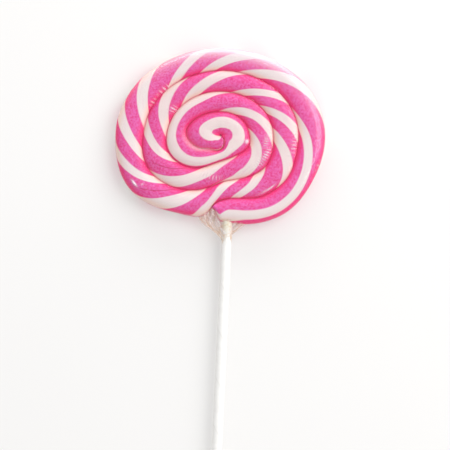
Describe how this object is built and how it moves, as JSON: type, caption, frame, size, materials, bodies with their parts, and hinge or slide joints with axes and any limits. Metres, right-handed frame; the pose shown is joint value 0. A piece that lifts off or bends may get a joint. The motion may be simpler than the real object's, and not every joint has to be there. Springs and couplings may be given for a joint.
{
  "type": "swirl lollipop",
  "caption": "Flat oval lollipop coiled from a twisted pink and white candy rope, on a straight white stick, in a clear shrink film gathered round the stick, lying on its back.",
  "frame": {"origin": "on the film's flat back, under the centre of the candy disc", "axes": "+Z is the way the candy's face looks, -Y is the way the stick points, and +X is to the right as the face is seen with the stick down"},
  "size_m": [0.0856, 0.187, 0.0089],
  "materials": {
    "candy": "smooth boiled sugar, pink with spiral white stripes",
    "stick": "tightly rolled white paper, smooth",
    "wrapper": "clear glossy shrink film"
  },
  "bodies": {
    "root": {"candy": "candy", "stick": "stick", "wrapper": "wrapper"}
  },
  "joints": []
}
